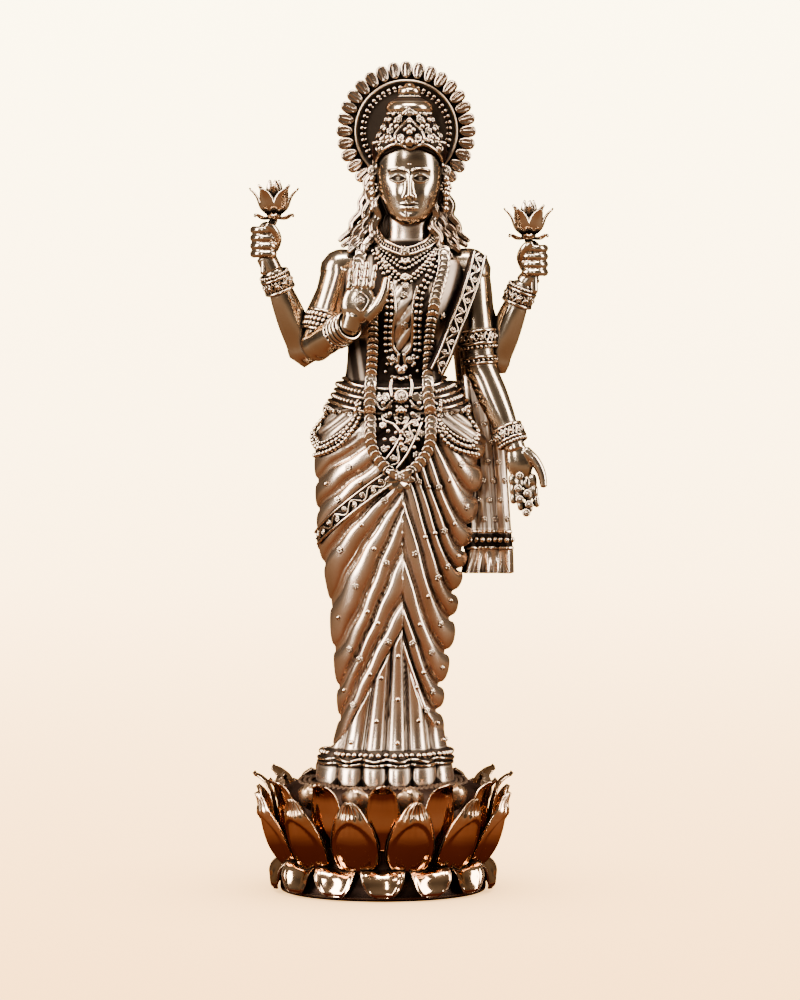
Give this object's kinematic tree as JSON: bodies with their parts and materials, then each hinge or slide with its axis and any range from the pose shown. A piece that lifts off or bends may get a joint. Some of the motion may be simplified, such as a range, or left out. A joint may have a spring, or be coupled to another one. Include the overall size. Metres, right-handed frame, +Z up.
{
  "type": "lakshmi figure",
  "caption": "Standing four-armed goddess in a pleated sari with halo, held lotuses, coins and long garland, on a double lotus plinth, cast in copper.",
  "frame": {"origin": "centre of the plinth's flat underside", "axes": "+Z up, the figure faces -Y, her left hand is towards +X"},
  "size_m": [0.0364, 0.0316, 0.0996],
  "materials": {
    "polished_copper": "polished antique copper, dark patina in the recesses",
    "red_copper": "mirror-polished dark copper, dark patina in the recesses"
  },
  "bodies": {
    "root": {"figure": "polished_copper", "lotus_base": "red_copper"}
  },
  "joints": []
}
